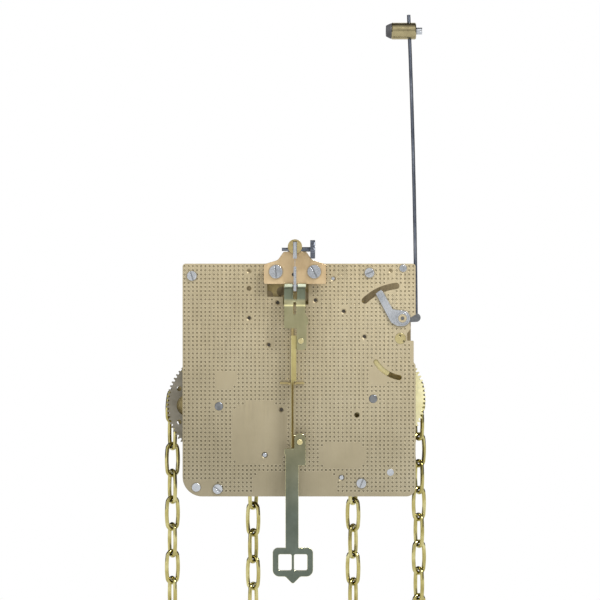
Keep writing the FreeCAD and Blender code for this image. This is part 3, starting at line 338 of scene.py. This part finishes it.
def make_special():
    """Finishes of single nodes that differ from their slot."""
    painted_shade_steel = metal("painted_shade_steel", (0.05, 0.045, 0.035), (0.09, 0.08, 0.065), (0.15, 0.14, 0.12),
                       rough=(0.3, 0.5))
    grey_steel = metal("grey_steel", (0.14, 0.15, 0.16), (0.24, 0.25, 0.26), (0.38, 0.39, 0.40),
                       patina_scale=200)
    # painted shade: the arbors are dark so that their pivots read as shaded inside their holes
    special = {node: painted_shade_steel for node in NODES if node.endswith("_arbor")}
    special.update({node: grey_steel for node in DARK_EDGED})
    special.update({
        "front_plate": metal("front_brass", *PLATE_SHADES, rough=PLATE_ROUGH, tint_and_painted_light=INNER_PAINTED_SHADE,
                             **PLATE_GRAIN),
        "strike_great_wheel": metal("pale_brass", (0.80, 0.74, 0.42), (0.93, 0.88, 0.56), (0.99, 0.96, 0.70),
                                    rough=(0.4, 0.6), patina_scale=90),
        # painted shade: the time great wheel sits in shade and is given a darker brass
        "time_great_wheel": metal("painted_shade_brass", (0.20, 0.18, 0.14), (0.27, 0.25, 0.20), (0.36, 0.33, 0.27),
                                  rough=(0.35, 0.5), patina_scale=90),
        "leader_head": metal("leader_upper", (0.27, 0.26, 0.14), (0.35, 0.33, 0.19), (0.42, 0.40, 0.25),
                             rough=(0.34, 0.5), tint_and_painted_light=HEAD_PAINTED_LIGHT, **LEADER_GRAIN),
        "leader_web": metal("leader_strap", (0.40, 0.33, 0.14), (0.55, 0.47, 0.20), (0.68, 0.60, 0.28),
                            rough=(0.3, 0.45), tint_and_painted_light=WEB_PAINTED_SHADE, **LEADER_GRAIN),
        "hammer_head": metal("hammer_brass", (0.30, 0.25, 0.14), (0.42, 0.36, 0.20), (0.56, 0.50, 0.29),
                             rough=(0.16, 0.28), patina_scale=90),
    })
    return special


def make_rim_highlight():
    """A painted highlight: brighter metal on the flat ring round each dimple."""
    return metal("plate_rim_highlight", (0.72, 0.62, 0.42), (0.86, 0.76, 0.53), (0.95, 0.86, 0.63),
                 rough=(0.25, 0.4), tint_and_painted_light=PLATE_PAINTED_LIGHT, **PLATE_GRAIN)


# edge colours: wear, and a painted highlight brighter than the faces
EDGE_WEAR_AND_HIGHLIGHT = {
    "leader_metal": ("leader", (0.70, 0.66, 0.34), (0.88, 0.85, 0.50), (0.98, 0.95, 0.66)),
    "cock_brass": ("cock", (0.62, 0.46, 0.28), (0.78, 0.60, 0.38), (0.88, 0.70, 0.48)),
    "wire_steel": ("wire", (0.20, 0.22, 0.26), (0.30, 0.32, 0.37), (0.40, 0.43, 0.48)),
    "tip_plastic": ("tip", (0.10, 0.10, 0.11), (0.14, 0.14, 0.15), (0.18, 0.18, 0.19)),
    "brass": ("brass", (0.60, 0.50, 0.26), (0.74, 0.63, 0.34), (0.86, 0.76, 0.46)),
    "bright_brass": ("bright", (0.80, 0.70, 0.38), (0.90, 0.82, 0.48), (0.97, 0.90, 0.60)),
    "steel": ("steel", (0.60, 0.61, 0.64), (0.72, 0.73, 0.76), (0.85, 0.86, 0.88)),
}


def make_worn_highlit_edges():
    """Worn edges for each slot, also painted brighter as a highlight along them."""
    made = {}
    for slot, (name, dark, base, light) in EDGE_WEAR_AND_HIGHLIGHT.items():
        made[slot] = metal(name + "_edge", dark, base, light, rough=(0.2, 0.35), patina_scale=150,
                           metallic=0.0 if slot == "tip_plastic" else 1.0)
    made["plate_brass"] = made["brass"]
    return made


# Meshes

SHARP_ANGLE = math.radians(35)


def drop_normals(mesh):
    """Takes off the stored corner normals, which no longer fit once the faces are changed."""
    stored = mesh.attributes.get("custom_normal")
    if stored:
        mesh.attributes.remove(stored)


def clean(bm):
    """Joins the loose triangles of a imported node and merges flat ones, so that edges can be worked."""
    bmesh.ops.remove_doubles(bm, verts=bm.verts, dist=1e-6)
    bmesh.ops.dissolve_limit(bm, angle_limit=math.radians(0.6), verts=bm.verts, edges=bm.edges)


def give_materials(mesh, mats):
    """Sets the finishes of a mesh, keeping which face has which."""
    index = [face.material_index for face in mesh.polygons]
    mesh.materials.clear()
    for mat in mats:
        mesh.materials.append(mat)
    mesh.polygons.foreach_set("material_index", index)


def add_piece(name, mesh, node, mats):
    """Puts a piece on its body, with the finish of the node it stands for."""
    piece = bpy.data.objects.new(name, mesh)
    bpy.context.collection.objects.link(piece)
    give_materials(mesh, mats)
    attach(piece, BODY_OF[node])
    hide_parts(node)


def refine(node, mats, bevel):
    """Replaces a node with the same shape with its edges broken; bevel is in millimetres."""
    bm = bmesh.new()
    bm.from_mesh(NODES[node].data)
    clean(bm)
    for face in bm.faces:
        face.material_index = 0
    mesh = bpy.data.meshes.new(node + "_sharp")
    bm.to_mesh(mesh)
    bm.free()
    drop_normals(mesh)
    give_materials(mesh, mats)
    mesh.shade_smooth()
    mesh.set_sharp_from_angle(angle=SHARP_ANGLE)
    scratch = bpy.data.objects.new("scratch", mesh)
    bpy.context.collection.objects.link(scratch)
    mod = scratch.modifiers.new("edges", "BEVEL")
    mod.width = bevel * MM
    mod.segments = 2
    mod.limit_method = "ANGLE"
    mod.angle_limit = SHARP_ANGLE
    mod.use_clamp_overlap = True
    mod.material = 1
    flatten = scratch.modifiers.new("flatten", "WEIGHTED_NORMAL")
    flatten.keep_sharp = True
    depsgraph = bpy.context.evaluated_depsgraph_get()
    made = bpy.data.meshes.new_from_object(scratch.evaluated_get(depsgraph))
    bpy.data.objects.remove(scratch)
    made.name = node + "_fine"
    add_piece(node + "_fine", made, node, mats)


# Back plate

DIMPLE_PITCH = 2.0 * MM
DIMPLE_R = 0.56 * MM
DIMPLE_DEPTH = 0.45 * MM
DIMPLE_SIDES = 8
RIM_R = 0.78 * MM
RIM_CLEAR = 0.1 * MM
# the first dimple's distance from the left edge and from the top edge, and the least from the foot
GRID_LEFT = 0.95 * MM
GRID_TOP = 1.25 * MM
GRID_FOOT = 0.7 * MM
# a dimple falls steeply to a smaller ring, then more gently to its middle
INNER_R = DIMPLE_R * 0.6
INNER_DEPTH = DIMPLE_DEPTH * 0.75
# oil sinks, cut round the pivot holes
PIVOT_HOLE_R = (0.6 * MM, 1.2 * MM)
ROUNDNESS = 0.05 * MM
SINK_WIDTH = 0.55 * MM
SINK_DEPTH = 0.4 * MM
FACE_SLACK = 0.02 * MM
# patches left smooth, as (low x, low z, high x, high z) in millimetres
SMOOTH_PATCHES = [(-31, 15, -4, 45), (12, 14, 34, 25.5), (-39, 52.5, -29, 60.5), (35, 53, 43.5, 61.5),
                  (-55, -1, -38, 8.5), (-20, -1, 20, 12)]


def on_patch(x, z):
    """True inside one of the smooth patches, each a rounded box."""
    for a, b, c, d in SMOOTH_PATCHES:
        across, up = (2 * x / MM - a - c) / (c - a), (2 * z / MM - b - d) / (d - b)
        if across ** 4 + up ** 4 < 1:
            return True
    return False


def rim_loops(bm, faces):
    """The closed rims round a set of faces, each a list of vertices in order."""
    chosen = set(faces)
    following = {}
    for face in faces:
        for loop in face.loops:
            if not any(other in chosen for other in loop.edge.link_faces if other != face):
                following[loop.vert] = loop.link_loop_next.vert
    rims = []
    while following:
        start = next(iter(following))
        rim, vert = [], start
        while vert in following:
            rim.append(vert)
            vert = following.pop(vert)
        rims.append(rim)
    return rims


def area_of(points):
    """The area inside a closed line of points, which is negative if it runs clockwise."""
    return sum(a.x * b.z - b.x * a.z for a, b in zip(points, points[1:] + points[:1])) / 2


def near_rim(x, z, rims, reach):
    """True if a place is within reach of a rim, given as lists of points."""
    for points in rims:
        for a, b in zip(points, points[1:] + points[:1]):
            dx, dz = b[0] - a[0], b[1] - a[1]
            t = ((x - a[0]) * dx + (z - a[1]) * dz) / max(dx * dx + dz * dz, 1e-18)
            t = min(1, max(0, t))
            if math.hypot(x - a[0] - t * dx, z - a[1] - t * dz) < reach:
                return True
    return False


def inside(x, z, points):
    """True if a place is inside a closed line of points."""
    found = False
    for a, b in zip(points, points[1:] + points[:1]):
        if (a[1] > z) != (b[1] > z) and x < a[0] + (z - a[1]) * (b[0] - a[0]) / (b[1] - a[1]):
            found = not found
    return found


def in_metal(x, z, outer, holes):
    """True inside the outer line and outside all the holes."""
    return inside(x, z, outer) and not any(inside(x, z, hole) for hole in holes)


def dimple_places(outer, holes):
    """The places of a square grid that are on the metal and clear of every rim and smooth patch."""
    places = []
    columns = int((PLATE_HIGH.x - PLATE_LOW.x) / DIMPLE_PITCH)
    rows = int((PLATE_HIGH.z - PLATE_LOW.z) / DIMPLE_PITCH)
    for i in range(columns):
        for k in range(rows):
            x = PLATE_LOW.x + GRID_LEFT + i * DIMPLE_PITCH
            z = PLATE_HIGH.z - GRID_TOP - k * DIMPLE_PITCH
            if z < PLATE_LOW.z + GRID_FOOT or on_patch(x, z) or not in_metal(x, z, outer, holes):
                continue
            if not near_rim(x, z, [outer] + holes, RIM_R + RIM_CLEAR):
                places.append((x, z))
    return places


def ring(x, z, r):
    """The corners of a dimple's ring."""
    turns = [2 * math.pi * k / DIMPLE_SIDES for k in range(DIMPLE_SIDES)]
    return [(x + r * math.cos(turn), z + r * math.sin(turn)) for turn in turns]


def is_pivot_hole(rim):
    """True if a rim is round and of a pivot's size, with its middle and radius."""
    middle = sum((v.co for v in rim), Vector()) / len(rim)
    radius = sum((v.co - middle).length for v in rim) / len(rim)
    spread = max(abs((v.co - middle).length - radius) for v in rim)
    fits = spread < ROUNDNESS and PIVOT_HOLE_R[0] < radius < PIVOT_HOLE_R[1]
    return fits, middle, radius


def cut_sink(bm, rim):
    """Cuts an oil sink at a pivot hole. Returns the outer rim left, the same one if nothing was cut."""
    fits, middle, radius = is_pivot_hole(rim)
    if not fits:
        return rim
    wider = [bm.verts.new(middle + (v.co - middle) * (radius + SINK_WIDTH) / radius) for v in rim]
    for v in rim:
        v.co.y += SINK_DEPTH
    for k, v in enumerate(rim):
        after = (k + 1) % len(rim)
        bm.faces.new((v, rim[after], wider[after], wider[k])).smooth = True
    return wider


def on_dimple(x, z, cells):
    """True within the ring of a dimple; cells holds the dimples by their grid squares."""
    i, j = round(x / DIMPLE_PITCH), round(z / DIMPLE_PITCH)
    for di in (-1, 0, 1):
        for dj in (-1, 0, 1):
            spot = cells.get((i + di, j + dj))
            if spot and math.hypot(x - spot[0], z - spot[1]) < RIM_R * 0.9:
                return True
    return False


def fill_face(bm, rims, places, outer, holes):
    """Fills the face between its rims, open at every dimple, and returns the vertices round each dimple."""
    openings = [[bm.verts.new((px, FACE_Y, pz)) for px, pz in ring(x, z, RIM_R)] for x, z in places]
    points, owners, edges = [], [], []
    for verts in rims + openings:
        first, count = len(points), len(verts)
        edges += [(first + k, first + (k + 1) % count) for k in range(count)]
        points += [Vector((v.co.x, v.co.z)) for v in verts]
        owners += verts
    spots, _, tris, origins, _, _ = delaunay_2d_cdt(points, edges, [], 0, 1e-9)
    made = []
    for spot, source in zip(spots, origins):
        made.append(owners[source[0]] if source else bm.verts.new((spot.x, FACE_Y, spot.y)))
    cells = {(round(x / DIMPLE_PITCH), round(z / DIMPLE_PITCH)): (x, z) for x, z in places}
    for tri in tris:
        x = sum(spots[k].x for k in tri) / 3
        z = sum(spots[k].y for k in tri) / 3
        corners = [made[k] for k in tri]
        if on_dimple(x, z, cells) or not in_metal(x, z, outer, holes):
            continue
        if len(set(corners)) == 3 and not bm.faces.get(corners):
            bm.faces.new(corners)
    return openings


def press_dimple(bm, x, z, outside):
    """One dimple: a rim with a painted highlight, a steep wall and a shallow middle."""
    rim = [bm.verts.new((px, FACE_Y, pz)) for px, pz in ring(x, z, DIMPLE_R)]
    inner = [bm.verts.new((px, FACE_Y + INNER_DEPTH, pz)) for px, pz in ring(x, z, INNER_R)]
    bottom = bm.verts.new((x, FACE_Y + DIMPLE_DEPTH, z))
    for k in range(DIMPLE_SIDES):
        after = (k + 1) % DIMPLE_SIDES
        bm.faces.new((outside[k], outside[after], rim[after], rim[k])).material_index = 1
        bm.faces.new((rim[k], rim[after], inner[after], inner[k])).smooth = True
        bm.faces.new((inner[k], inner[after], bottom)).smooth = True


def dimpled_plate(node, mats):
    """The back plate with its pressed dimples and with oil sinks round the pivot holes."""
    bm = bmesh.new()
    bm.from_mesh(NODES[node].data)
    clean(bm)
    facing = [f for f in bm.faces if f.normal.y < -0.99]
    face_set = [f for f in facing if abs(f.calc_center_median().y - FACE_Y) < FACE_SLACK]
    rims = rim_loops(bm, face_set)
    bmesh.ops.delete(bm, geom=face_set, context="FACES_ONLY")
    rims.sort(key=lambda rim: -abs(area_of([v.co for v in rim])))
    rims = rims[:1] + [cut_sink(bm, rim) for rim in rims[1:]]
    outer, *holes = [[(v.co.x, v.co.z) for v in rim] for rim in rims]
    places = dimple_places(outer, holes)
    openings = fill_face(bm, rims, places, outer, holes)
    for (x, z), outside in zip(places, openings):
        press_dimple(bm, x, z, outside)
    loose = [v for v in bm.verts if not v.link_faces]
    bmesh.ops.delete(bm, geom=loose, context="VERTS")
    bmesh.ops.recalc_face_normals(bm, faces=bm.faces)
    mesh = bpy.data.meshes.new(node + "_dimpled")
    bm.to_mesh(mesh)
    bm.free()
    drop_normals(mesh)
    mesh.set_sharp_from_angle(angle=math.radians(25))
    add_piece(node + "_dimpled", mesh, node, mats)


# Assembly of the looks

# nodes seen close, with the width of their broken edges in millimetres
REFINED = {
    "suspension_cock": 0.25, "cock_screws": 0.22, "suspension_stud": 0.2, "thumb_screw": 0.08,
    "leader_head": 0.28, "leader_web": 0.1, "pendulum_hook": 0.25, "leader_rivets": 0.15,
    "plate_screws": 0.18, "riveted_studs": 0.15, "hammer_head": 0.25, "hammer_tip": 0.3,
    "hammer_set_screw": 0.15, "silence_lever": 0.18, "shift_lever": 0.15, "crutch": 0.08,
    "suspension_block": 0.1, "hammer_arbor": 0.15, "time_great_arbor": 0.25, "strike_great_arbor": 0.25,
    "snail": 0.08, "rack": 0.1, "rack_hook": 0.12, "lifting_lever": 0.12, "plate_pillars": 0.2,
    "cannon_pinion": 0.06, "front_plate": 0.12,
}


def dress():
    """Gives every node its finish, and the ones seen close their broken edges."""
    materials, special, edges = make_materials(), make_special(), make_worn_highlit_edges()
    for node, obj in NODES.items():
        mat = special.get(node, materials[SLOT_OF[node]])
        if node in REFINED:
            edge = edges["wire_steel"] if node in DARK_EDGED else edges[SLOT_OF[node]]
            refine(node, [mat, edge], REFINED[node])
        obj.data.materials.clear()
        obj.data.materials.append(mat)
    dimpled_plate("back_plate", [materials["plate_brass"], make_rim_highlight()])


make_camera()
make_floor()
make_world()
make_light("key", (0.55, -0.8, 0.85), 0.3, 13)
make_light("fill", (-0.8, -0.9, 0.3), 0.8, 1.5)
make_light("back", (0.3, 0.9, 0.8), 0.8, 2)
bpy.context.scene.view_settings.view_transform = "Standard"
dress()
